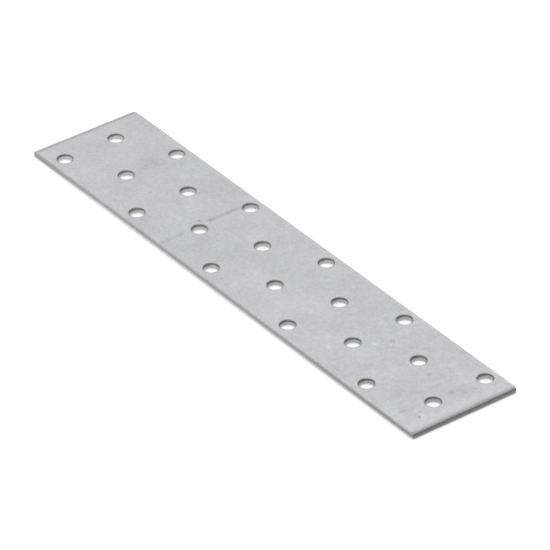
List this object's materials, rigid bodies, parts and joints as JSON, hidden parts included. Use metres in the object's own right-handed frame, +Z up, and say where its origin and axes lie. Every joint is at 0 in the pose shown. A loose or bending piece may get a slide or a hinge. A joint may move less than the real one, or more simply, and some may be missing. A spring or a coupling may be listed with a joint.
{
  "type": "mending plate",
  "caption": "Flat galvanised steel mending plate with a staggered grid of punched nail holes, for joining timbers edge to edge or end to end.",
  "frame": {"origin": "middle of the underside", "axes": "+X along the length of the strip, +Y across its width, +Z up through the top face"},
  "size_m": [0.2, 0.04, 0.002],
  "materials": {
    "galvanised_steel": "hot-dip galvanised sheet with a fine spangle, satin; bare steel on the cut edges"
  },
  "bodies": {
    "root": {"mending_plate": "galvanised_steel"}
  },
  "joints": []
}
